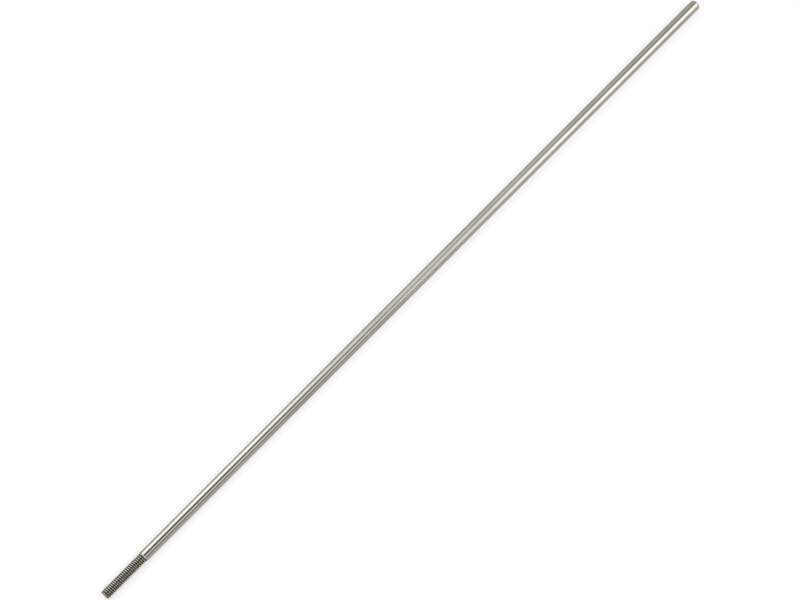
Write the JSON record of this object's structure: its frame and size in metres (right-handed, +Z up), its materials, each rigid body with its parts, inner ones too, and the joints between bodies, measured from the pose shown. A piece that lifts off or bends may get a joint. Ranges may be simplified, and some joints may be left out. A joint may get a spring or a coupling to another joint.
{
  "type": "shaft",
  "caption": "Long slim round steel shaft with a fine male screw thread and a tapered neck at one end and a plain chamfered end.",
  "frame": {"origin": "on the shaft's axis, where the neck reaches the full diameter", "axes": "+X along the shaft towards the plain end, so the thread is at -X; +Z up as the shaft lies"},
  "size_m": [0.3175, 0.004, 0.004],
  "materials": {
    "steel": "centreless-ground stainless steel, bright, with fine marks round the shaft"
  },
  "bodies": {
    "root": {"shaft": "steel"}
  },
  "joints": []
}
